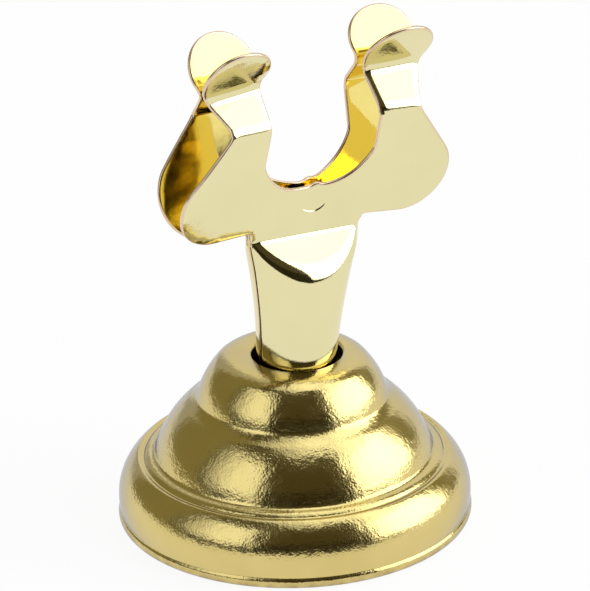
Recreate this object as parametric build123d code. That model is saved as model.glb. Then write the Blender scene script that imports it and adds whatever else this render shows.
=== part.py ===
from build123d import *
import os
from math import acos, atan2, cos, degrees, hypot, radians, sin, sqrt

# Driving dimensions, in millimetres and degrees. Heights are above the table.

# Bell: a drawn sheet shell. Its outer profile turns at these radii and heights.
bell_wall = 0.5
rim_radius = 17.5
hem_radius = 0.7
hem_reach = 1.7
foot_height = 1.2
crest_radius = 15.4
crest_height = 6.6
groove_radius = 14.75
groove_height = 6.35
dome_foot_radius = 13.75
dome_foot_height = 7.1
dome_top_radius = 10.5
dome_top_height = 12.1
cap_foot_radius = 9.45
cap_foot_height = 13.0
brow_radius = 7.4
brow_height = 16.7
hole_radius = 4.85
hole_height = 17.3

# How far each stretch of the profile bows out of its chord, or into it.
flange_bow = 0.85
foot_hollow = 0.2
dome_bow = 0.4
step_hollow = 0.05
cap_bow = 0.25
brow_bow = 0.35

# Weight poured into the bell, and the felt disc under it.
fill_height = 15.4
cast_gap = 0.1
pad_gap = 0.2

# Clip: it stands in the weight, leaning a little to its right.
clip_lean = 4.2
lean_height = 10.0
sheet = 0.5
bend_radius = 0.8
seam_gap = 0.3

# Shank: two half shells that make a tapered tube.
tail_height = 3.5
shank_radius = 3.95
shank_straight_height = 17.0
shank_half_width = 6.0
shank_half_depth = 4.7
shoulder_angle = 46.0

# Side profile of one leaf: its fold, the lobe, crease and throat above one another, and their
# distance from the middle plane.
fold_height = 30.1
fold_offset = 0.45
lobe_rise = 5.2
crease_rise = 7.7
crease_offset = 3.5
throat_rise = 3.2
throat_gap = 0.4
ear_tilt = 31.6

# Front outline of one leaf.
waist_half_width = 5.8
lobe_centre = 10.65
lobe_radius = 4.4
notch_half_width = 6.3
notch_radius = 7.0
notch_rise = 5.05
neck_inner = 6.2
neck_outer = 10.5
neck_corner_radius = 2.0
ear_centre = 9.1
ear_rise = 2.25
ear_radius = 3.7

# Spot-weld dimple just under the notch, and the line where the arms flex.
dimple_radius = 1.8
dimple_drop = 0.75
weld_press = 0.05
flex_rise = 1.85
flex_gap = 0.05

# Values that follow from the sizes above.
foot_radius = rim_radius - hem_radius + sqrt(hem_radius**2 - (foot_height - hem_radius) ** 2)
lobe_height = fold_height + lobe_rise
crease_height = lobe_height + crease_rise
throat_height = crease_height + throat_rise
notch_floor_height = fold_height + notch_rise
flex_height = notch_floor_height + flex_rise
plate_slope = (crease_offset - fold_offset) / (crease_height - fold_height)
plate_angle = degrees(atan2(crease_offset - fold_offset, crease_height - fold_height))
outline_depth = 2 * shank_half_width
ear_cut_depth = 3 * sheet
clear_of_part = 4 * rim_radius
clip_place = Pos(0, 0, lean_height) * Rot(0, clip_lean, 0) * Pos(0, 0, -lean_height)


def inset(points, distance):
    """Moves the corners of an open chain to its left by a distance, as a mitred wall does."""
    moved = []
    for i, (x, y) in enumerate(points):
        normals = []
        for a, b in ((i - 1, i), (i, i + 1)):
            if a < 0 or b >= len(points):
                continue
            dx = points[b][0] - points[a][0]
            dy = points[b][1] - points[a][1]
            normals.append((-dy / hypot(dx, dy), dx / hypot(dx, dy)))
        nx = sum(n[0] for n in normals) / len(normals)
        ny = sum(n[1] for n in normals) / len(normals)
        reach = distance / (nx * nx + ny * ny)
        moved.append((x + nx * reach, y + ny * reach))
    return moved


def bell_corners(depth):
    """Corners of the bell's profile, from the hem's inner edge up to the hole, a depth inside its skin."""
    outer = [
        (rim_radius - hem_reach, 0),
        (rim_radius - hem_radius, 0),
        (foot_radius, foot_height),
        (crest_radius, crest_height),
        (groove_radius, groove_height),
        (dome_foot_radius, dome_foot_height),
        (dome_top_radius, dome_top_height),
        (cap_foot_radius, cap_foot_height),
        (brow_radius, brow_height),
        (hole_radius, hole_height),
    ]
    return inset(outer, depth) if depth else outer


def bell_chain(depth):
    """Edges of the profile at a depth: the flat hem, its roll, and then one bowed stretch after another."""
    corners = bell_corners(depth)
    roll = ThreePointArc(corners[1], (rim_radius - depth, hem_radius), corners[2])
    edges = [Line(corners[0], corners[1]), roll]
    bows = [-flange_bow, 0, foot_hollow, -dome_bow, step_hollow, -cap_bow, -brow_bow]
    for start, end, bow in zip(corners[2:], corners[3:], bows):
        edges.append(SagittaArc(start, end, bow) if bow else Line(start, end))
    return edges


def turned(edges):
    """Solid of revolution from a closed chain of edges, drawn as radius and height."""
    return revolve(Plane.XZ * make_face(edges), axis=Axis.Z)


def base_shell():
    outer = bell_corners(0)
    inner = bell_corners(bell_wall)
    ends = [Line(outer[0], inner[0]), Line(outer[-1], inner[-1])]
    return turned(bell_chain(0) + bell_chain(bell_wall) + ends)


def slab(low, high):
    """Everything between two heights."""
    return Pos(0, 0, (low + high) / 2) * Box(clear_of_part, clear_of_part, high - low)


def cast_weight():
    skin = bell_wall + cast_gap
    corners = bell_corners(skin)
    low = (0, corners[0][1])
    high = (0, corners[-1][1])
    edges = bell_chain(skin) + [Line(corners[0], low), Line(corners[-1], high), Line(low, high)]
    block = turned(edges) & slab(bell_wall + cast_gap, fill_height)
    depth = hole_height - tail_height + cast_gap
    bore = Pos(0, 0, hole_height - depth / 2) * Cylinder(shank_radius + cast_gap, depth)
    return block - clip_place * bore


def felt_pad():
    thickness = bell_wall + cast_gap
    return Pos(0, 0, thickness / 2) * Cylinder(rim_radius - hem_reach - pad_gap, thickness)


def tube(wall):
    """Solid of the shank at a depth inside its skin: a round tail that widens to an oval."""
    tail = Pos(0, 0, tail_height) * Circle(shank_radius - wall)
    waist = Pos(0, 0, shank_straight_height) * Circle(shank_radius - wall)
    top = Pos(0, 0, throat_height) * Ellipse(*oval_at(throat_height, wall))
    return extrude(tail, shank_straight_height - tail_height) + loft([waist, top])


def oval_at(height, wall):
    """Half width and half depth of the shank's cone, carried on to a height."""
    share = (height - shank_straight_height) / (fold_height - shank_straight_height)
    width = shank_radius + (shank_half_width - shank_radius) * share
    depth = shank_radius + (shank_half_depth - shank_radius) * share
    return width - wall, depth - wall


def shoulder_plane(depth):
    """Top face of the shoulder, sloping down and out from the fold, a depth below its skin."""
    up = (0, -cos(radians(shoulder_angle)), sin(radians(shoulder_angle)))
    plane = Plane((0, -fold_offset - sheet / 2, fold_height), x_dir=(1, 0, 0), z_dir=up)
    return plane.offset(-depth)


def half_shank():
    outer = split(tube(0), bisect_by=shoulder_plane(0), keep=Keep.BOTTOM)
    inner = split(tube(sheet), bisect_by=shoulder_plane(sheet), keep=Keep.BOTTOM)
    seam = Plane((0, -seam_gap / 2, 0), z_dir=(0, -1, 0))
    return split(outer - inner, bisect_by=seam, keep=Keep.TOP)


def plate_offset(height):
    """Distance of the plate's middle surface from the clip's middle plane."""
    return fold_offset + (height - fold_height) * plate_slope


def throat_offset():
    """Where the unrounded corner lies so that the rounded throat leaves its gap."""
    run = crease_offset - throat_gap / 2 - sheet / 2
    facet_angle = degrees(atan2(run, throat_height - crease_height))
    half_turn = radians((facet_angle + ear_tilt) / 2)
    return throat_gap / 2 + sheet / 2 - bend_radius * (1 / cos(half_turn) - 1)


def leaf_strip():
    """The bent strip that a leaf is cut from: plate, facet and ear, as wide as the leaf."""
    reach = ear_rise + ear_radius + sheet
    tip_offset = throat_offset() + reach * sin(radians(ear_tilt))
    tip_height = throat_height + reach * cos(radians(ear_tilt))
    start_height = fold_height - sheet / 2
    points = [
        (-plate_offset(start_height), start_height),
        (-crease_offset, crease_height),
        (-throat_offset(), throat_height),
        (-tip_offset, tip_height),
    ]
    section = trace(FilletPolyline(*points, radius=bend_radius), line_width=sheet)
    width = lobe_centre + lobe_radius + sheet
    return extrude(Plane.YZ * section, amount=width, both=True)


def arm_outline():
    """Right half of the outline up to the throat, seen from the front."""
    chord = sqrt(ear_radius**2 - ear_rise**2)
    notch_centre = notch_floor_height + notch_radius
    notch_side = notch_centre - sqrt(notch_radius**2 - notch_half_width**2)
    # The lobe's flank is the tangent from the neck's outer corner.
    dx = neck_outer - lobe_centre
    dy = crease_height - lobe_height
    flank = atan2(dy, dx) - acos(lobe_radius / hypot(dx, dy))
    flank_point = (lobe_centre + lobe_radius * cos(flank), lobe_height + lobe_radius * sin(flank))
    lobe_turn = degrees(flank) + 90
    lobe = CenterArc((lobe_centre, lobe_height), lobe_radius, -90, lobe_turn)
    lobe_bottom = (lobe_centre, lobe_height - lobe_radius)
    notch_turn = degrees(acos((notch_centre - notch_side) / notch_radius))
    notch = CenterArc((0, notch_centre), notch_radius, -90, notch_turn)
    waist_low = fold_height - sheet
    sides = Polyline(
        flank_point,
        (neck_outer, crease_height),
        (ear_centre + chord, throat_height),
        (ear_centre - chord, throat_height),
        (neck_inner, crease_height),
        (notch_half_width, notch_side),
    )
    foot = Polyline(
        (0, notch_floor_height),
        (0, waist_low),
        (waist_half_width, waist_low),
        (waist_half_width, lobe_bottom[1]),
        lobe_bottom,
    )
    half = make_face(foot.edges() + [lobe] + sides.edges() + [notch])
    corner = half.vertices().sort_by_distance((neck_outer, crease_height))[0]
    return fillet(corner, neck_corner_radius)


def leaf_blank():
    """Cutter for the outline: both halves through the plate and facet, and the round ears."""
    right = arm_outline()
    outline = extrude(Plane.XZ * (right + mirror(right, Plane.YZ)), outline_depth, both=True)
    up = (0, -sin(radians(ear_tilt)), cos(radians(ear_tilt)))
    for side in (-1, 1):
        centre = Vector(side * ear_centre, -throat_offset(), throat_height) + Vector(*up) * ear_rise
        ear_plane = Plane(centre, x_dir=(1, 0, 0), z_dir=(0, -up[2], up[1]))
        outline += ear_plane * Cylinder(ear_radius, ear_cut_depth)
    return outline


def dimple_balls():
    """Inner and outer ball of the dimple, pressed until it meets the other leaf."""
    height = notch_floor_height - dimple_drop
    out = Vector(0, -cos(radians(plate_angle)), -sin(radians(plate_angle)))
    middle = Vector(0, -plate_offset(height), height)
    depth = plate_offset(height) / cos(radians(plate_angle)) - sheet / 2 + weld_press
    ball = (dimple_radius**2 + depth**2) / (2 * depth)
    centre = middle + out * (sheet / 2 + ball - depth)
    bump = split(Pos(centre) * Sphere(ball + sheet), bisect_by=Plane(middle, z_dir=out), keep=Keep.BOTTOM)
    return Pos(centre) * Sphere(ball), bump


def front_leaf():
    """Lower half and the two arms of the front leaf, parted at the line where the arms flex."""
    blank = leaf_blank()
    recess, bump = dimple_balls()
    strip = leaf_strip() & blank
    up = (0, -sin(radians(plate_angle)), cos(radians(plate_angle)))
    flex = Plane((0, -plate_offset(flex_height), flex_height), x_dir=(1, 0, 0), z_dir=up)
    arms = split(strip, bisect_by=flex.offset(flex_gap / 2), keep=Keep.TOP)
    lower = split(strip, bisect_by=flex.offset(-flex_gap / 2), keep=Keep.BOTTOM)
    lower = lower + (bump & blank) - recess
    lower = split(lower, bisect_by=Plane.XZ, keep=Keep.TOP)
    left, right = arms.solids().sort_by(Axis.X)
    return lower + half_shank(), left, right


def clip_parts():
    """Both leaves where they stand: the rear one is the front one turned half round."""
    lower, left, right = front_leaf()
    turn = Rot(0, 0, 180)
    return {
        "front_leaf_shank": clip_place * lower,
        "front_left_arm": clip_place * left,
        "front_right_arm": clip_place * right,
        "rear_leaf_shank": clip_place * turn * lower,
        "rear_right_arm": clip_place * turn * left,
        "rear_left_arm": clip_place * turn * right,
    }


parts = {
    "base_shell": base_shell(),
    "cast_weight": cast_weight(),
    "felt_pad": felt_pad(),
    **clip_parts(),
}
os.makedirs("parts", exist_ok=True)
for name, shape in parts.items():
    export_step(shape, f"parts/{name}.step")
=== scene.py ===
from math import acos, asin, atan2, ceil, cos, exp, hypot, pi, radians, sin, sqrt, tan

import bmesh
import bpy
import numpy as np
from mathutils import Matrix, Vector
from mathutils.geometry import delaunay_2d_cdt


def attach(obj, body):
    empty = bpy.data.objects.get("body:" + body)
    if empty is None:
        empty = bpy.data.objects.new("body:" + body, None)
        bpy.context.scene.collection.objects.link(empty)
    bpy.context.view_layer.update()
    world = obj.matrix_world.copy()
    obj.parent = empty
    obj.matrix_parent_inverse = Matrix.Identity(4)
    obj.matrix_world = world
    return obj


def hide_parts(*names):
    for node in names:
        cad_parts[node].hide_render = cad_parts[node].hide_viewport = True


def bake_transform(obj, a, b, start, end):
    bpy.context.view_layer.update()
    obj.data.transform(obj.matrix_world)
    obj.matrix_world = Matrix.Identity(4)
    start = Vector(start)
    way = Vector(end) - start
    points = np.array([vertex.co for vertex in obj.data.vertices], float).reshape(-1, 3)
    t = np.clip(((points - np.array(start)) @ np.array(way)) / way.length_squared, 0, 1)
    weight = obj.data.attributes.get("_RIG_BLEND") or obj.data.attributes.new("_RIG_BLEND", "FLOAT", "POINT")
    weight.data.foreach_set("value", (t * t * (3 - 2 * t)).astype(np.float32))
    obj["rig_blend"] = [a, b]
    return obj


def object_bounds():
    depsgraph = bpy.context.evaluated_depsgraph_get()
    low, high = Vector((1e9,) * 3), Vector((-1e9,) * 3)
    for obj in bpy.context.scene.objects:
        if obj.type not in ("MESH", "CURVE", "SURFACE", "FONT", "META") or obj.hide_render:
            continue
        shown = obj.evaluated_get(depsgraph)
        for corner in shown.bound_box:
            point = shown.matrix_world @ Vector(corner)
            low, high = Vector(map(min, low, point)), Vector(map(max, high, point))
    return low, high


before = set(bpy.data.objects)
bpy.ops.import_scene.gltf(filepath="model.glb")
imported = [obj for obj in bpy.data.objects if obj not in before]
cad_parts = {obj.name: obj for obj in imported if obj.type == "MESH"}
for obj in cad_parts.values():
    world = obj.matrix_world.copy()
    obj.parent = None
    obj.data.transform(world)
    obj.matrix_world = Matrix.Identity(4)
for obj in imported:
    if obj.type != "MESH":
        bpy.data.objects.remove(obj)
cad_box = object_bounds()

# Sizes are in millimetres, as in the solids, and turn into metres where a mesh is made.
MM = 0.001

# Bell: radii and heights of its outer profile, how far each stretch of it bows out, and its mesh.
bell_wall = 0.5
rim_radius = 17.495
hem_radius = 0.7
hem_reach = 1.7
foot_height = 1.2
crest = (15.4, 6.6)
groove = (14.85, 6.4)
bead = (14.2, 6.93)
dome_foot = (13.75, 7.2)
dome_top = (10.5, 12.1)
cap_foot = (9.45, 13.0)
brow = (7.4, 16.7)
hole_rim = (4.56, 17.3)
hole_wall = (4.5, 16.8)
hole_shift = 0.57
bell_bows = (0.85, 0.0, 0.1, -0.08, 0.4, -0.05, 0.25, 0.35, 0.1)
bell_step = 0.08
bell_turns = 320
outer_passes = 6
inner_passes = 30

# Clip: its lean in the bell, and the sheet with the rounding of its edges and bends.
clip_lean = 4.2
lean_height = 10.0
sheet = 0.5
edge_round = 0.2
edge_drop = 0.05
seam_round = 0.08
rim_steps = 5
crease_radius = 1.5
throat_radius = 1.4
bend_steps = 16

# Clip: the shank's half tube, its seam and its shoulder.
seam_gap = 0.36
seam_offsets = (-0.5, 0.4)
seam_shares = (0.2, 0.4, 0.6, 0.8, 1.0)
seam_turn_end = 3.0
tail_height = 3.5
shank_straight_height = 17.0
shank_foot_width = 3.9
shank_top_width = 6.4
shank_foot_depth = 4.25
shank_top_depth = 3.85
shank_flare = 1.5
shank_columns = 48
tube_rows = 36
rim_rows = 20
rim_zone = 2.5
rim_rounds = 8
shoulder_angle = radians(45)
shoulder_round = 1.0
shoulder_rows = 24
shoulder_rounds = 40
fold_round = 0.45
fold_share = 0.3
fold_rows = 6
most_of_run = 0.999
no_length = 1e-9

# Clip: side profile and outline of a leaf.
fold_height = 30.3
free_edge_start = fold_height - 2
fold_offset = 0.45
join_height = 31.1
lobe_centre = 10.75
lobe_height = 35.3
lobe_radius = 4.4
crease_height = 43.0
crease_offset = 3.5
throat_height = 46.2
throat_gap = 0.4
ear_tilt = radians(31.6)
notch_half_width = 6.3
notch_radius = 7.0
notch_floor = 34.95
neck_inner = 6.2
neck_tuck = 1.4
neck_outer = 10.5
waist_rise = 0.35
neck_corner_radius = 1.2
neck_corner_steps = 20
ear_centre = 9.1
ear_rise = 2.25
ear_radius = 3.7
outline_step = 0.12
outline_passes = 14
grid_step = 0.45
grid_margin = 0.42
fill_inside = 1
fill_grain = 1e-6
same_place = 2e-3
sliver = 1e-4

# Clip: the pinch round the spot weld, its flat dimple that fades upwards, and its lip on the notch floor.
weld_place = (0.4, 34.3)
dimple_radius = 1.75
dimple_wall = 0.13
dimple_depth = 0.1
dimple_level = 0.25
dimple_fade = 0.75
dimple_rings = (0.1, 0.4, 0.8, 1.2)
dimple_outer_ring = 2.2
dimple_wall_step = 0.04
dimple_ring_step = 0.1
pinch_height = 36.0
pinch_depth = 1.0
pinch_reach = (2.6, 2.4)
pinch_start = fold_height + 1
pinch_full = fold_height + 3
pinch_end = crease_height - 2
weld_lip = (0.9, 0.6, 0.25)
lip_low = lobe_height - 1

# Clip: how far the arms are splayed, as a slope and the distance across where it starts, and at which
# heights it sets in and eases off.
left_splay = (0.09, 0.0)
right_splay = (0.11, 5.0)
splay_ease = 2.0
splay_band = (29.0, 41.0)
crease_ease = 0.4
crease_ease_start = 37.0

# Clip: how its arms came out of the press, the left one of a leaf first: moves of the crease, the throat
# and the tip of the ear to the right, back and up. One throat is slanted, and one facet's left edge is
# curled back. The arms flex in a band at the level of the notch floor.
press_start = 39.0
front_press = (
    ((0.2, 0.3, 0.1), (0.0, 0.0, 0.0), (0.0, -0.3, 0.0)),
    ((0.0, 0.0, 0.0), (0.0, -0.15, 0.22), (0.0, -0.5, 0.0)),
)
rear_press = (
    ((0.0, -0.16, 0.68), (0.0, -0.6, 0.66), (0.0, -0.2, 0.0)),
    ((0.0, 0.0, 0.0), (0.0, -0.05, 0.0), (0.0, -0.1, 0.0)),
)
throat_slant = 0.12
slant_pivot = -7.6
mostly_right = 0.5
curl_width = 0.45
curl_depth = 0.13
curl_shares = (0.2, 0.4, 0.6, 0.8, 1.0)
curl_margin = 0.1
edge_margin = 0.05
flex_band = (34.6, 39.4)

# Plating: sizes of the clouds in its colour, its gloss and the spots of the painted shade at the bell's
# foot, and the swell under its orange peel.
cloud_size = 7.0
gloss_size = 1.6
foot_shade_spot_size = 0.9
swell_size = 4
swell_depth = 2.5

# Studio, in metres: the panels, with the shares of one over which its light fades to its left and its top,
# and the table, with the size of its clouds in millimetres and the share of it that is plain white.
softbox_distance = 1.45
screen_distance = 1.7
panel_steps = 16
left_fade = 0.6
top_fade = (0.54, 0.7)
table_radius = 3.0
table_drop = 0.00002
table_cloud = 60.0
table_white = 0.92

# Camera, in metres: where it stands, what it aims at, and its roll and lens.
camera_place = Vector((-0.3402, -0.5846, 0.3347))
camera_aim = Vector((0.000387, -0.000225, 0.02352))
camera_roll = radians(-1.285)
camera_lens = 462.9
camera_sensor = 36.0
camera_reach = 10


def link(name, mesh):
    """Puts a mesh into the scene as an object."""
    made = bpy.data.objects.new(name, mesh)
    bpy.context.scene.collection.objects.link(made)
    return made


def stretch(a, b, bow, step):
    """Points from a to b on an arc that bows out to the right of its chord, or on the chord itself."""
    along = np.subtract(b, a)
    chord = hypot(*along)
    count = max(2, ceil(chord / step))
    share = np.linspace(0, 1, count + 1)[:, None]
    if not bow:
        return np.add(a, share * along)
    radius = (chord * chord / 4 + bow * bow) / (2 * abs(bow))
    out = np.array((along[1], -along[0])) / chord * (1 if bow > 0 else -1)
    centre = np.add(a, b) / 2 - out * (radius - abs(bow))
    turn = (2 * share - 1) * asin(chord / 2 / radius)
    return centre + radius * (np.cos(turn) * out + np.sin(turn) * along / chord)


def circle_arc(centre, radius, start, end, step):
    """Points of a circle's arc between two angles."""
    count = max(3, ceil(radius * abs(end - start) / step))
    angle = np.linspace(start, end, count + 1)
    return np.add(centre, radius * np.stack([np.cos(angle), np.sin(angle)], axis=1))


def joined(stretches):
    """One chain of points out of stretches that meet end to end."""
    return np.concatenate([stretches[0]] + [s[1:] for s in stretches[1:]])


def softened(points, passes):
    """Rounds the corners of a chain of even steps by averaging neighbours, with its ends kept."""
    points = points.copy()
    for _ in range(passes):
        points[1:-1] = (points[:-2] + 2 * points[1:-1] + points[2:]) / 4
    return points


def even_steps(points, step):
    """The same chain with points at even distances."""
    gaps = np.hypot(*np.diff(points, axis=0).T)
    travel = np.concatenate([[0], np.cumsum(gaps)])
    marks = np.linspace(0, travel[-1], ceil(travel[-1] / step) + 1)
    return np.stack([np.interp(marks, travel, points[:, k]) for k in (0, 1)], axis=1)


def headings(points):
    """Unit directions along a chain, one at each point."""
    along = np.gradient(points, axis=0)
    return along / np.hypot(*along.T)[:, None]


def clamped(share):
    """A share kept between 0 and 1."""
    return min(1, max(0, share))


def eased(value, start, end):
    """A smooth step from 0 at the start to 1 at the end."""
    share = clamped((value - start) / (end - start))
    return share * share * (3 - 2 * share)


def rounded_corner(before, corner, after, radius, steps):
    """Points of the arc that rounds a corner of a chain."""
    to_before, to_after = (before - corner).normalized(), (after - corner).normalized()
    half = to_before.angle(to_after) / 2
    centre = corner + (to_before + to_after).normalized() * radius / sin(half)
    first = corner + to_before * radius / tan(half) - centre
    turn = pi - 2 * half
    if to_before.cross(to_after) > 0:
        turn = -turn
    return [centre + Matrix.Rotation(turn * i / steps, 2) @ first for i in range(steps + 1)]


def bell_profile():
    """Outer skin of the bell as radius and height, from the hem's inner edge up to the hole."""
    roll_centre = (rim_radius - hem_radius, hem_radius)
    roll_end = asin((foot_height - hem_radius) / hem_radius)
    roll = circle_arc(roll_centre, hem_radius, -pi / 2, roll_end, bell_step)
    hem = stretch((rim_radius - hem_reach, 0), (roll_centre[0], 0), 0, bell_step)
    corners = [tuple(roll[-1]), crest, groove, bead, dome_foot, dome_top, cap_foot, brow]
    corners += [hole_rim, hole_wall]
    bowed = [stretch(a, b, bow, bell_step) for a, b, bow in zip(corners, corners[1:], bell_bows)]
    return joined([hem, roll, softened(joined(bowed), outer_passes)])


def inner_skin(profile, wall):
    """The profile moved inwards by the wall, and smoothed where the wall is thicker than a bend."""
    along = headings(profile)
    out = np.stack([along[:, 1], -along[:, 0]], axis=1)
    return softened(profile - wall * out, inner_passes)


def off_axis(radius, height):
    """How far the leaning clip has pulled the top of the cap to its right."""
    if height <= cap_foot[1]:
        return 0
    return hole_shift * clamped((brow[0] - radius) / (brow[0] - hole_rim[0])) ** 2


def lathe(name, loop):
    """Turns a closed loop of radius and height into a body of revolution."""
    angles = np.arange(bell_turns) * 2 * pi / bell_turns
    shift = [off_axis(r, z) for r, z in loop]
    places = []
    for a in angles:
        places += [((r * cos(a) + d) * MM, r * sin(a) * MM, z * MM) for (r, z), d in zip(loop, shift)]
    count = len(loop)
    faces = []
    for i in range(bell_turns):
        this, following = i * count, (i + 1) % bell_turns * count
        for j in range(count):
            k = (j + 1) % count
            faces.append((this + j, this + k, following + k, following + j))
    mesh = bpy.data.meshes.new(name)
    mesh.from_pydata(places, [], faces)
    mesh.shade_smooth()
    return link(name, mesh)


def bell():
    """The bell, as one sheet with an outer and an inner skin."""
    outer = bell_profile()
    inner = inner_skin(outer, bell_wall)
    return lathe("bell", np.concatenate([outer, inner[::-1]]))


def throat_corner():
    """Distance of the sheet's middle from the clip's middle plane at the unrounded throat."""
    run = crease_offset - throat_gap / 2 - sheet / 2
    half_turn = (atan2(run, throat_height - crease_height) + ear_tilt) / 2
    return throat_gap / 2 + sheet / 2 - throat_radius * (1 / cos(half_turn) - 1)


def side_path():
    """Side profile of a leaf's outer skin: rows of outline height, and their places across and upwards."""
    slope = (crease_offset - fold_offset) / (crease_height - fold_height)
    start = fold_height - sheet
    tip = ear_rise + ear_radius + sheet
    corners = [
        Vector((-fold_offset + sheet * slope, start)),
        Vector((-crease_offset, crease_height)),
        Vector((-throat_corner(), throat_height)),
        Vector((-throat_corner() - tip * sin(ear_tilt), throat_height + tip * cos(ear_tilt))),
    ]
    middle = [corners[0]]
    radii = (crease_radius, throat_radius)
    for before, corner, after, radius in zip(corners, corners[1:], corners[2:], radii):
        middle += rounded_corner(before, corner, after, radius, bend_steps)
    middle.append(corners[-1])
    points = np.array(middle)
    along = np.diff(points, axis=0)
    along /= np.hypot(*along.T)[:, None]
    out = np.stack([-along[:, 1], along[:, 0]], axis=1)
    out = np.concatenate([out[:1], out[:-1] + out[1:], out[-1:]])
    out /= np.hypot(*out.T)[:, None]
    height = points[:, 1]
    ear = throat_height + (height - throat_height) / cos(ear_tilt)
    return np.where(height < throat_height, height, ear), points + out * sheet / 2


ROWS, SKIN = side_path()


def on_skin(x, row):
    """Point of the leaf's outer skin at a distance across and a height of its outline."""
    y = np.interp(row, ROWS, SKIN[:, 0])
    z = np.interp(row, ROWS, SKIN[:, 1])
    return Vector((x, y, z))


def half_outline(waist):
    """Right half of a leaf's outline, from the waist round the lobe and the ear to the notch floor."""
    chord = sqrt(ear_radius**2 - neck_tuck**2)
    ear_start = -asin(neck_tuck / ear_radius)
    ear_middle = (ear_centre, throat_height + ear_rise)
    notch_middle = (0, notch_floor + notch_radius)
    notch_start = -acos(notch_half_width / notch_radius)
    lobe_low = lobe_height - lobe_radius
    away = (neck_outer - lobe_centre, crease_height - lobe_height)
    flank = atan2(away[1], away[0]) - acos(lobe_radius / hypot(*away))
    lobe = circle_arc((lobe_centre, lobe_height), lobe_radius, -pi / 2, flank, outline_step)
    ear = circle_arc(ear_middle, ear_radius, ear_start, pi - ear_start, outline_step)
    notch = circle_arc(notch_middle, notch_radius, notch_start, -pi / 2, outline_step)
    neck = rounded_corner(
        Vector(lobe[-1]),
        Vector((neck_outer, crease_height)),
        Vector((ear_centre + chord, ear_middle[1] - neck_tuck)),
        neck_corner_radius,
        neck_corner_steps,
    )
    corner = [(waist, join_height), (waist, lobe_low + waist_rise)]
    stops = [corner, lobe, neck, ear, [(neck_inner, crease_height)], notch]
    return even_steps(np.concatenate([np.array(s) for s in stops]), outline_step)


def whole_outline(waist, side):
    """Both halves as one chain from the waist's right to its left, with soft corners and the weld's lip."""
    right = half_outline(waist)
    left = right[-2::-1] * (-1, 1)
    chain = softened(np.concatenate([right, left]), outline_passes)
    place, reach, height = weld_lip
    if side == "rear":
        place = -place
    on_floor = (np.abs(chain[:, 0]) < notch_half_width / 2) & (chain[:, 1] > lip_low)
    chain[:, 1] += on_floor * height * np.exp(-(((chain[:, 0] - place) / reach) ** 2))
    return chain


def facet_edge(chain):
    """Left edge of the right arm's facet on an outline, and the directions from it into the sheet."""
    along = headings(chain)
    inward = np.stack([-along[:, 1], along[:, 0]], axis=1)
    on_right_arm = chain[:, 0] > 0
    on_left_edge = inward[:, 0] > mostly_right
    on_facet = (chain[:, 1] > crease_height) & (chain[:, 1] < throat_height)
    chosen = on_right_arm & on_left_edge & on_facet
    return chain[chosen], inward[chosen]


def inside(points, loop, margin):
    """Which points lie inside a closed loop, and further from it than a margin."""
    x, y = points[:, 0][:, None], points[:, 1][:, None]
    ax, ay = loop[:, 0][None], loop[:, 1][None]
    bx, by = np.roll(loop[:, 0], -1)[None], np.roll(loop[:, 1], -1)[None]
    spans = (ay > y) != (by > y)
    rise = np.where(by == ay, 1, by - ay)
    odd = (spans & (x < ax + (y - ay) / rise * (bx - ax))).sum(axis=1) % 2 == 1
    near = np.min((x - ax) ** 2 + (y - ay) ** 2, axis=1) < margin**2
    return odd & ~near


def weld_rings():
    """Rings of points round the weld, dense at the wall of its dimple."""
    reach = 2 * dimple_wall
    wall = np.arange(dimple_radius - reach, dimple_radius + reach, dimple_wall_step)
    radii = (*dimple_rings, *wall, dimple_outer_ring)
    return [circle_arc(weld_place, radius, 0, 2 * pi, dimple_ring_step)[1:] for radius in radii]


def plate_points(loop, edge, inward):
    """Points that fill a leaf above the join: a grid, dense at the bends, and the weld's and curl's own."""
    low, high = loop.min(axis=0), loop.max(axis=0)
    flat = np.arange(low[1], high[1], grid_step)
    bends = ROWS[1:-1]
    flat = flat[np.min(np.abs(flat[:, None] - bends[None]), axis=1) > grid_step / 2]
    across = np.arange(-ceil(high[0] / grid_step), ceil(high[0] / grid_step) + 1) * grid_step
    grid = np.array([(x, q) for q in np.sort(np.concatenate([flat, bends])) for x in across])
    ring_end = dimple_radius + dimple_wall + grid_step
    grid = grid[np.hypot(*(grid - weld_place).T) > ring_end]
    filling = np.concatenate([grid, *weld_rings()])
    depths = [edge_round + curl_width * share for share in curl_shares]
    lines = np.concatenate([edge + inward * depth for depth in depths])
    filling = filling[inside(filling, loop, grid_margin)]
    reach = depths[-1] + curl_margin
    clear = [np.min(np.hypot(*(edge - point).T)) > reach for point in filling]
    return np.concatenate([filling[clear], lines[inside(lines, loop, edge_round + edge_margin)]])


def add_plate(surface, foot, side):
    """Meshes everything above the join, between the outline and a row of points at its foot."""
    chain = whole_outline(foot[-1], side)
    loop = np.concatenate([chain, np.array([(x, join_height) for x in foot[1:-1]])])
    edge, inward = facet_edge(chain)
    points = np.concatenate([loop, plate_points(loop, edge, inward)])
    border = [list(range(len(loop)))]
    places = [Vector(p) for p in points]
    corners, _, faces, *_ = delaunay_2d_cdt(places, [], border, fill_inside, fill_grain)
    curl = surface.verts.layers.float["curl"]
    verts = [surface.verts.new(on_skin(x, q)) for x, q in corners]
    for vert, corner in zip(verts, corners):
        away = max(0, np.min(np.hypot(*(edge - corner).T)) - edge_round)
        share = max(0, 1 - away / curl_width)
        vert[curl] = curl_depth * share * share
    for face in faces:
        surface.faces.new([verts[i] for i in face])


def oval(height):
    """Half width and half depth of the shank at a height."""
    share = clamped((height - shank_straight_height) / (fold_height - shank_straight_height))
    width = shank_foot_width + (shank_top_width - shank_foot_width) * share**shank_flare
    return width, shank_foot_depth + (shank_top_depth - shank_foot_depth) * share


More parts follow.
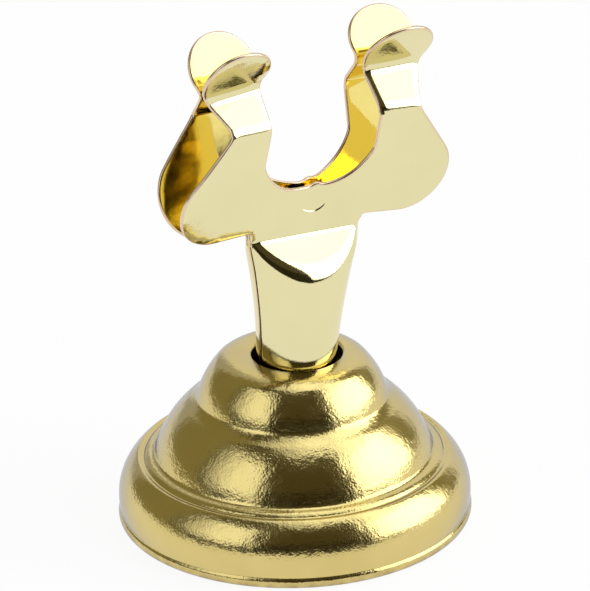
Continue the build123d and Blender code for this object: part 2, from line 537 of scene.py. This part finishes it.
def on_tube(angle, height):
    """Point of the shank's outer skin, with angle 0 at the front."""
    width, depth = oval(height)
    return Vector((width * sin(angle), -depth * cos(angle), height))


def tube_top(angle, fold):
    """Height at which the tube's skin meets the sloping shoulder."""
    height = fold.z
    for _ in range(shoulder_rounds):
        drop = (oval(height)[1] * cos(angle) + fold.y) * tan(shoulder_angle)
        height = fold.z - max(0, drop)
    return height


def bent(before, corner, after, reach, steps):
    """Points that round a corner between two straight runs, just short of the whole of either."""
    ends = []
    for run in (before - corner, after - corner):
        ends.append(corner + run * min(1, reach / max(run.length, no_length)) * most_of_run)
    first, last = ends
    share = [i / steps for i in range(steps + 1)]
    return [first * (1 - t) ** 2 + corner * 2 * t * (1 - t) + last * t * t for t in share]


def shoulder_out():
    """Direction in which the shoulder faces."""
    return Vector((0, -sin(shoulder_angle), cos(shoulder_angle)))


def rounded_rim(place, fold):
    """Pulls a point near the rim between the tube and the shoulder onto the rim's rounding."""
    for _ in range(rim_rounds):
        width, depth = oval(place.z)
        reach = hypot(place.x / width, place.y / depth)
        tube_out = Vector((place.x / width**2, place.y / depth**2, 0)) / reach
        past_tube = (reach - 1) / tube_out.length + shoulder_round
        past_shoulder = (place - fold).dot(shoulder_out()) + shoulder_round
        if past_tube <= 0 or past_shoulder <= 0:
            break
        both = hypot(past_tube, past_shoulder)
        out = (tube_out.normalized() * past_tube + shoulder_out() * past_shoulder) / both
        place = place - out * (both - shoulder_round) / out.length_squared
    return place


def settled(place, fold):
    """A point of the shoulder or of the fold above it, moved with the rim's rounding below it."""
    above = max(0, (place - fold).dot(shoulder_out()))
    foot = place - shoulder_out() * above
    return place + (rounded_rim(foot, fold) - foot) * (1 - eased(place.z, fold.z, join_height))


def tube_line(angles, top, fold, soft):
    """A line up the tube, between its angles at foot and top, with a share of the rim's rounding."""
    start = top - rim_zone
    low = np.linspace(tail_height, start, tube_rows)[:-1]
    heights = np.concatenate([low, np.linspace(start, top, rim_rows)])
    turns = np.interp(heights, (shank_straight_height, fold_height - seam_turn_end), angles)
    places = [on_tube(a, z) for a, z in zip(turns, heights)]
    return [p.lerp(rounded_rim(p, fold), soft) for p in places]


def shank_column(angle, fold):
    """One line up the shank: the tube, and above it the shoulder, the fold and the foot of the plate."""
    top = on_tube(angle, tube_top(angle, fold))
    crook = Vector((top.x, fold.y, fold.z))
    join = on_skin(top.x, join_height)
    valley = bent(top, crook, join, min(fold_round, fold_share * (crook - top).length), fold_rows)
    ramp = [top.lerp(valley[0], i / shoulder_rows) for i in range(1, shoulder_rows)]
    upper = [settled(p, fold) for p in ramp + valley] + [join]
    return tube_line((angle, angle), top.z, fold, 1), upper


def seam_strip(hand, edge, upper, fold):
    """Lines from the last column of one side to the seam, up to the height of the join."""
    depths = (shank_foot_depth, oval(fold.z)[1])
    ends = [acos((seam_gap / 2 - hand * offset) / depth) for offset, depth in zip(seam_offsets, depths)]
    lines = []
    for share in seam_shares:
        angles = [hand * (edge + (end - edge) * share) for end in ends]
        tube = tube_line(angles, fold.z, fold, 1 - share)
        lines.append(tube + tube[-1:] * (len(upper) - 1) + [on_tube(angles[1], upper[-1].z)])
    return lines


def add_shank(surface):
    """Meshes the half tube and its shoulder, and returns where its columns meet the plate."""
    fold = on_skin(0, fold_height)
    edge = acos(-fold.y / oval(fold.z)[1])
    steps = range(-shank_columns, shank_columns + 1)
    columns = [shank_column(edge * i / shank_columns, fold) for i in steps]
    left = seam_strip(-1, edge, columns[0][1], fold)
    right = seam_strip(1, edge, columns[-1][1], fold)
    grid = []
    for line in left[::-1] + [tube + top for tube, top in columns] + right:
        grid.append([surface.verts.new(p) for p in line])
    for a, b in zip(grid, grid[1:]):
        for i in range(len(a) - 1):
            surface.faces.new((a[i], b[i], b[i + 1], a[i + 1]))
    return [top[-1].x for _, top in columns]


def leaf_surface(side):
    """Outer skin of a leaf, in one piece, as it faces the front."""
    surface = bmesh.new()
    surface.verts.layers.float.new("curl")
    foot = add_shank(surface)
    add_plate(surface, foot, side)
    bmesh.ops.remove_doubles(surface, verts=surface.verts, dist=same_place)
    bmesh.ops.dissolve_degenerate(surface, edges=surface.edges, dist=sliver)
    bmesh.ops.recalc_face_normals(surface, faces=surface.faces)
    surface.normal_update()
    if sum(f.normal.y * f.calc_area() for f in surface.faces) > 0:
        bmesh.ops.reverse_faces(surface, faces=surface.faces)
    surface.normal_update()
    return surface


def pressed_in(place):
    """How deep the weld has pressed the sheet in at a place on the plate."""
    if not pinch_start < place.z < pinch_end:
        return 0
    across, up = place.x - weld_place[0], place.z - weld_place[1]
    low_side = clamped(dimple_level - dimple_fade * up / dimple_radius)
    wall = eased(dimple_radius - hypot(across, up), -dimple_wall / 2, dimple_wall / 2)
    away = hypot(place.x / pinch_reach[0], (place.z - pinch_height) / pinch_reach[1])
    pinch = pinch_depth * exp(-away * away)
    return pinch * eased(place.z, pinch_start, pinch_full) + dimple_depth * wall * low_side


def splayed(place, splays):
    """How far the arms stand off their flat plate to the front, more at the lobes than near the weld."""
    slope, start = splays[0] if place.x < 0 else splays[1]
    across = max(0, abs(place.x) - start)
    stand_off = slope * (hypot(across, splay_ease) - splay_ease)
    low, full = splay_band
    at_crease = 1 - crease_ease * eased(place.z, crease_ease_start, crease_height)
    share = clamped((place.z - low) / (full - low)) * at_crease
    return stand_off * share * clamped((throat_height - place.z) / (throat_height - crease_height))


def bent_arms(place, side, splays):
    """How the arms of one clip came out of the press, off their flat plate and straight bends."""
    presses = front_press if side == "front" else rear_press
    crease, throat, tip = presses[0 if place.x < 0 else 1]
    if side == "front" and place.x < 0:
        run = crease_offset - throat_gap / 2 - sheet / 2
        slope = Vector((0, run, throat_height - crease_height)).normalized()
        throat = Vector(throat) + slope * throat_slant * (place.x - slant_pivot)
    tip_height = throat_height + (ear_rise + ear_radius) * cos(ear_tilt)
    stops = (press_start, crease_height, throat_height, tip_height)
    moves = np.array([(0, 0, 0), crease, throat, tip])
    pressed = Vector([np.interp(place.z, stops, moves[:, k]) for k in range(3)])
    return pressed - Vector((0, splayed(place, splays), 0))


def border_loops(surface):
    """Loops of open edges, each as vertices in order with the sheet on their left."""
    following = {}
    for edge in surface.edges:
        if edge.is_boundary:
            corner = edge.link_loops[0]
            following[corner.vert] = corner.link_loop_next.vert
    loops = []
    while following:
        first, vert = following.popitem()
        loop = [first]
        while vert is not first:
            loop.append(vert)
            vert = following.pop(vert)
        loops.append(loop)
    return loops


def rim_profile(roll):
    """Section of the sheet's rounded edge from outer to inner skin, as places across it and outwards."""
    flat = sheet / 2 - roll
    turns = [i * pi / 2 / rim_steps for i in range(1, rim_steps + 1)]
    bulge = [(flat + roll * cos(t), roll * (sin(t) - 1)) for t in turns]
    return [(n - edge_drop, m) for n, m in bulge] + [(-n, m) for n, m in reversed(bulge)]


def rim_rings(loop, outer, inner, places):
    """Rounds the sheet along a loop: adds the rim's places, and returns a ring of their numbers at each."""
    count = len(outer)
    rings = []
    for before, vert, after in zip(loop[-1:] + loop[:-1], loop, loop[1:] + loop[:1]):
        i = vert.index
        out = (after.co - before.co).cross(vert.normal).normalized()
        middle = (outer[i] + inner[i]) / 2
        free = eased(vert.co.z, free_edge_start, fold_height)
        roll = seam_round + (edge_round - seam_round) * free
        places[i] = outer[i] - out * roll - vert.normal * edge_drop
        places[i + count] = inner[i] - out * roll
        rim = rim_profile(roll)
        rings.append([i] + [len(places) + k for k in range(len(rim))] + [i + count])
        places.extend(middle + vert.normal * n + out * m for n, m in rim)
    return rings


def leaf_mesh(name, side, splays):
    """Gives the skin its thickness and a rounded rim: material 0 outside, 1 inside and 2 on the rim."""
    surface = leaf_surface(side)
    surface.verts.index_update()
    count = len(surface.verts)
    curl = surface.verts.layers.float["curl"]
    depth = [pressed_in(v.co) + v[curl] for v in surface.verts]
    bow = [bent_arms(v.co, side, splays) for v in surface.verts]
    outer = [v.co - v.normal * d + b for v, d, b in zip(surface.verts, depth, bow)]
    inner = [p - v.normal * sheet for p, v in zip(outer, surface.verts)]
    skin = [[v.index for v in face.verts] for face in surface.faces]
    faces = [(corners, 0) for corners in skin]
    faces += [([i + count for i in reversed(face)], 1) for face in skin]
    places = outer + inner
    for loop in border_loops(surface):
        rings = rim_rings(loop, outer, inner, places)
        for a, b in zip(rings, rings[1:] + rings[:1]):
            faces += [((b[k], a[k], a[k + 1], b[k + 1]), 2) for k in range(len(a) - 1)]
    surface.free()
    mesh = bpy.data.meshes.new(name)
    mesh.from_pydata([p * MM for p in places], [], [face for face, _ in faces])
    mesh.polygons.foreach_set("material_index", [slot for _, slot in faces])
    mesh.validate()
    mesh.shade_smooth()
    return mesh


def clip_place():
    """Where the clip stands: leaning to its right about a point in the weight."""
    pivot = Matrix.Translation((0, 0, lean_height * MM))
    return pivot @ Matrix.Rotation(radians(clip_lean), 4, "Y") @ pivot.inverted()


def leaf(name, mesh, turn, body):
    """A leaf where it stands, bending with its jaw at the level of the notch floor."""
    place = clip_place() @ Matrix.Rotation(turn, 4, "Z")
    mesh.transform(place)
    made = link(name, mesh)
    start, end = (place @ (on_skin(0, row) * MM) for row in flex_band)
    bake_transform(made, "base", body, start=start, end=end)
    return made


def shader(name):
    """A new material, its node tree and its main shader."""
    material = bpy.data.materials.new(name)
    material.use_nodes = True
    tree = material.node_tree
    return material, tree, tree.nodes["Principled BSDF"]


def add(tree, kind, inputs=(), **settings):
    """A node with its settings and the values or links of its inputs."""
    node = tree.nodes.new("ShaderNode" + kind)
    for key, value in settings.items():
        setattr(node, key, value)
    for key, value in dict(inputs).items():
        if isinstance(value, bpy.types.NodeSocket):
            tree.links.new(value, node.inputs[key])
        else:
            node.inputs[key].default_value = value
    return node


def combined(tree, operation, first, second):
    """The result of an operation on two values or links."""
    return add(tree, "Math", {0: first, 1: second}, operation=operation).outputs[0]


def grain(tree, size, detail=2.0, squash=(1, 1, 1)):
    """Noise in the object's own space with features of a size in millimetres."""
    place = add(tree, "TexCoord").outputs["Object"]
    scaled = add(tree, "Mapping", {"Vector": place, "Scale": squash}).outputs["Vector"]
    noise = {"Vector": scaled, "Scale": 1 / (size * MM), "Detail": detail}
    return add(tree, "TexNoise", noise).outputs["Fac"]


def spread(tree, value, low, high):
    """Maps the middle of a noise onto a range."""
    inputs = {"Value": value, "From Min": 0.3, "From Max": 0.7, "To Min": low, "To Max": high}
    return add(tree, "MapRange", inputs).outputs["Result"]


def blended(tree, share, first, second):
    """A colour between two by a share, the first one plain or from a link."""
    if not isinstance(first, bpy.types.NodeSocket):
        first = (*first, 1)
    return add(tree, "Mix", {0: share, 6: first, 7: (*second, 1)}, data_type="RGBA").outputs[2]


def bumped(tree, height, depth, normal=None):
    """A bump of a depth in millimetres, on top of another one if given."""
    inputs = {"Height": height, "Distance": depth * MM, "Strength": 1.0}
    if normal:
        inputs["Normal"] = normal
    return add(tree, "Bump", inputs).outputs["Normal"]


def paint_foot_shade(tree, colour, shade_colour, heights):
    """Painted contact shade: a colour that turns to a darker shade colour in spots, from the upper to the
    lower of two heights of the bottom edge.
    """
    place = add(tree, "TexCoord").outputs["Object"]
    height = add(tree, "SeparateXYZ", {"Vector": place}).outputs["Z"]
    band = {"Value": height, "From Min": heights[1] * MM, "From Max": heights[0] * MM}
    low = add(tree, "MapRange", band).outputs["Result"]
    spots = spread(tree, grain(tree, foot_shade_spot_size, 4.0), 0, 1)
    return blended(tree, combined(tree, "MULTIPLY", low, spots), colour, shade_colour)


def plated(name, colours, edge_tint, roughness, peel, peel_size, painted_foot_shade=None):
    """Gold plate: a drifting colour, cloudy gloss, a fine orange peel, and painted shade in spots near its
    foot if asked.
    """
    material, tree, main = shader(name)
    main.inputs["Metallic"].default_value = 1.0
    main.inputs["Specular Tint"].default_value = (*edge_tint, 1)
    colour = blended(tree, spread(tree, grain(tree, cloud_size), 0, 1), *colours)
    if painted_foot_shade:
        colour = paint_foot_shade(tree, colour, *painted_foot_shade)
    tree.links.new(colour, main.inputs["Base Color"])
    gloss = spread(tree, grain(tree, gloss_size, 4.0), *roughness)
    tree.links.new(gloss, main.inputs["Roughness"])
    swell = bumped(tree, grain(tree, peel_size * swell_size), peel * swell_depth)
    tree.links.new(bumped(tree, grain(tree, peel_size), peel, swell), main.inputs["Normal"])
    return material


def cast_metal():
    """Grey metal as it was poured."""
    material, tree, main = shader("cast_metal")
    main.inputs["Metallic"].default_value = 1.0
    main.inputs["Roughness"].default_value = 0.65
    share = spread(tree, grain(tree, 1.5, 6.0), 0, 1)
    colour = blended(tree, share, (0.10, 0.10, 0.10), (0.22, 0.21, 0.20))
    tree.links.new(colour, main.inputs["Base Color"])
    tree.links.new(bumped(tree, grain(tree, 0.5, 6.0), 0.05), main.inputs["Normal"])
    return material


def felt():
    """Black felt with short crossed fibres."""
    material, tree, main = shader("felt")
    main.inputs["Roughness"].default_value = 0.95
    main.inputs["Sheen Weight"].default_value = 0.4
    fibre = grain(tree, 0.25, 5.0, (1, 0.25, 1))
    share = spread(tree, fibre, 0, 1)
    colour = blended(tree, share, (0.008, 0.008, 0.009), (0.03, 0.03, 0.032))
    tree.links.new(colour, main.inputs["Base Color"])
    crossed = bumped(tree, grain(tree, 0.25, 5.0, (0.25, 1, 1)), 0.08)
    tree.links.new(bumped(tree, fibre, 0.08, crossed), main.inputs["Normal"])
    return material


def direction(azimuth, elevation):
    """Unit vector towards a point of the studio; azimuth 0 is in front of the clip and 90 to its right."""
    a, e = radians(azimuth), radians(elevation)
    return Vector((sin(a) * cos(e), -cos(a) * cos(e), sin(e)))


def studio_panel(name, corner_of, material):
    """A panel of the studio on a grid, which shows in the metal and not to the camera."""
    row = panel_steps + 1
    shares = [i / panel_steps for i in range(row)]
    mesh = bpy.data.meshes.new(name)
    faces = []
    for i in range(panel_steps):
        for j in range(panel_steps):
            k = i * row + j
            faces.append((k, k + 1, k + row + 1, k + row))
    mesh.from_pydata([corner_of(u, v) for v in shares for u in shares], [], faces)
    layer = mesh.uv_layers.new(name="UVMap")
    for corner in mesh.loops:
        k = corner.vertex_index
        layer.data[corner.index].uv = (k % row / panel_steps, k // row / panel_steps)
    mesh.materials.append(material)
    made = link(name, mesh)
    made.visible_camera = False
    made.visible_shadow = False


def curved_panel(name, azimuths, elevations, distance, material, droop=0, taper=0):
    """A panel bent round the object, which if asked droops in its right half and is narrower at its top."""
    def corner_of(u, v):
        azimuth = azimuths[0] + (azimuths[1] - taper * v - azimuths[0]) * u
        low = elevations[0] - droop * min(1, 2 * u)
        elevation = low + (elevations[1] - low) * v
        return direction(azimuth, elevation) * distance
    studio_panel(name, corner_of, material)


def level_panel(name, across, along, height, material):
    """A level panel above the object."""
    def corner_of(u, v):
        return across[0] + (across[1] - across[0]) * u, along[0] + (along[1] - along[0]) * v, height
    studio_panel(name, corner_of, material)


def glow(name, colour, strength=1.0, soft=0.0, left_share=1.0, top_share=1.0):
    """Light of a panel, fading at its edges, and if asked towards its left and its top."""
    material = bpy.data.materials.new(name)
    material.use_nodes = True
    tree = material.node_tree
    tree.nodes.clear()
    level = add(tree, "Emission", {"Color": (*colour, 1), "Strength": strength})
    add(tree, "OutputMaterial", {"Surface": level.outputs["Emission"]})
    if soft:
        uv = add(tree, "SeparateXYZ", {"Vector": add(tree, "TexCoord").outputs["UV"]}).outputs
        from_side = combined(tree, "PINGPONG", uv["X"], 0.5)
        from_end = combined(tree, "PINGPONG", uv["Y"], 0.5)
        top = {"Value": uv["Y"], "From Min": top_fade[0], "From Max": top_fade[1]}
        fades = [
            {"Value": from_side, "From Max": soft, "To Max": strength},
            {"Value": from_end, "From Max": soft},
            {"Value": uv["X"], "From Max": left_fade, "To Min": left_share},
            {**top, "To Min": 1.0, "To Max": top_share},
        ]
        product = 1.0
        for fade in fades:
            share = add(tree, "MapRange", fade, interpolation_type="SMOOTHSTEP").outputs["Result"]
            product = combined(tree, "MULTIPLY", product, share)
        tree.links.new(product, level.inputs["Strength"])
    return material


def floor_material():
    """White table top that keeps part of the object's shadow in a picture and in the metal."""
    material, tree, main = shader("table")
    main.inputs["Roughness"].default_value = 0.9
    main.inputs["Specular IOR Level"].default_value = 0.1
    cloud = spread(tree, grain(tree, table_cloud), 0, 1)
    colour = blended(tree, cloud, (0.96, 0.96, 0.96), (0.98, 0.98, 0.98))
    tree.links.new(colour, main.inputs["Base Color"])
    rays = add(tree, "LightPath").outputs
    seen = combined(tree, "MAXIMUM", rays["Is Camera Ray"], rays["Is Glossy Ray"])
    seen = combined(tree, "MAXIMUM", seen, rays["Is Transmission Ray"])
    share = combined(tree, "MULTIPLY", seen, table_white)
    white = add(tree, "Emission", {"Color": (1, 1, 1, 1), "Strength": 1.0})
    mixed = add(tree, "MixShader", {0: share, 1: main.outputs[0], 2: white.outputs[0]})
    tree.links.new(mixed.outputs[0], tree.nodes["Material Output"].inputs["Surface"])
    return material


def table_top():
    """Round white table under the object."""
    mesh = bpy.data.meshes.new("table_top")
    made = bmesh.new()
    bmesh.ops.create_circle(made, cap_ends=True, segments=96, radius=table_radius)
    made.to_mesh(mesh)
    made.free()
    mesh.materials.append(floor_material())
    top = link("table_top", mesh)
    top.location.z = cad_box[0].z - table_drop


def studio():
    """Softboxes to the right, to the left and overhead, dark screens, and white walls behind the object."""
    white = (0.97, 1.0, 1.04)
    right_light = glow("right_light", white, 3.4, soft=0.046, left_share=0.72, top_share=0.57)
    left_light = glow("left_light", white, 1.35, soft=0.14, left_share=0.3)
    overhead_light = glow("overhead_light", white, 1.6, soft=0.06, left_share=0.42)
    curved_panel(
        "right_softbox", (21, 88.5), (8.8, 68), softbox_distance, right_light, droop=5.2, taper=10
    )
    curved_panel("left_softbox", (-118, -56), (9.5, 55), softbox_distance, left_light)
    level_panel("overhead_softbox", (-0.55, 0.85), (-0.85, 0.35), softbox_distance, overhead_light)
    dark = glow("dark_room", (0.075, 0.062, 0.030))
    dim = glow("dim_room", (0.27, 0.245, 0.13))
    skirt = glow("dark_skirt", (0.026, 0.022, 0.010))
    grey = glow("grey_wall", (0.5, 0.5, 0.5))
    screens = (
        ("front_screen", (-108, 22), (22, 72), dark),
        ("low_front_screen", (-108, 22), (2, 22), skirt),
        ("left_screen", (-168, -108), (2, 72), dim),
        ("far_left_screen", (-190, -168), (2, 80), grey),
        ("right_screen", (22, 78), (4, 60), dark),
        ("far_right_screen", (78, 107), (2, 60), dim),
    )
    for name, azimuths, elevations, material in screens:
        curved_panel(name, azimuths, elevations, screen_distance, material)
    world = bpy.data.worlds.new("studio")
    world.use_nodes = True
    world.node_tree.nodes["Background"].inputs["Color"].default_value = (0.95, 0.95, 0.96, 1)
    bpy.context.scene.world = world
    table_top()


def camera():
    """Camera at the photograph's place, with its long lens and slight roll."""
    data = bpy.data.cameras.new("camera")
    data.lens = camera_lens
    data.sensor_width = camera_sensor
    data.clip_end = camera_reach
    made = link("camera", data)
    ahead = (camera_aim - camera_place).normalized()
    right = ahead.cross(Vector((0, 0, 1))).normalized()
    up = right.cross(ahead)
    rolled = right * cos(camera_roll) + up * sin(camera_roll)
    upright = up * cos(camera_roll) - right * sin(camera_roll)
    turn = Matrix((rolled, upright, -ahead)).transposed()
    made.matrix_world = Matrix.Translation(camera_place) @ turn.to_4x4()
    bpy.context.scene.camera = made


def finishes():
    """The bell's gold, and the gold of a leaf's outside, inside and rim; the inside's gold is a yellower
    copy that paints the reflection between the leaves.
    """
    grey_edge, pale_edge = (0.66, 0.72, 0.95), (0.95, 0.95, 0.95)
    # The bell darkens in spots from 1.3 mm down to 0.2 mm above the table: painted contact shade at its
    # foot.
    base_gold = plated(
        "base_gold", ((0.66, 0.525, 0.195), (0.72, 0.58, 0.23)), grey_edge,
        roughness=(0.14, 0.2), peel=0.015, peel_size=0.22, painted_foot_shade=((0.38, 0.28, 0.12), (0.2, 1.3)),
    )
    clip_gold = plated(
        "clip_gold", ((0.77, 0.70, 0.395), (0.80, 0.73, 0.42)), pale_edge,
        roughness=(0.05, 0.1), peel=0.0025, peel_size=0.3,
    )
    # The inside of a leaf is a yellower copy of the clip's gold: painted reflection of the gold leaf facing
    # it.
    inner_gold_painted_reflection = plated(
        "inner_gold_painted_reflection", ((0.87, 0.72, 0.22), (0.90, 0.75, 0.25)), pale_edge,
        roughness=(0.06, 0.12), peel=0.0015, peel_size=0.4,
    )
    edge_gold = plated(
        "edge_gold", ((0.72, 0.54, 0.36), (0.80, 0.64, 0.45)), pale_edge,
        roughness=(0.2, 0.3), peel=0.004, peel_size=0.2,
    )
    return base_gold, (clip_gold, inner_gold_painted_reflection, edge_gold)


def dress():
    """Builds the pieces, gives them their finish and joins them to the frame."""
    base_gold, leaf_golds = finishes()
    shell = bell()
    shell.data.materials.append(base_gold)
    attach(shell, "base")
    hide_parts("base_shell")
    splays = (left_splay, right_splay)
    for side, turn, hands in (("front", 0, splays), ("rear", pi, splays[::-1])):
        mesh = leaf_mesh(side + "_leaf", side, hands)
        for material in leaf_golds:
            mesh.materials.append(material)
        made = leaf(side + "_leaf", mesh, turn, side + "_jaw")
        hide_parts(side + "_leaf_shank", side + "_left_arm", side + "_right_arm")
    for node, material in (("cast_weight", cast_metal()), ("felt_pad", felt())):
        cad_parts[node].data.materials.clear()
        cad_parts[node].data.materials.append(material)


dress()
studio()
camera()
bpy.context.scene.view_settings.view_transform = "Standard"
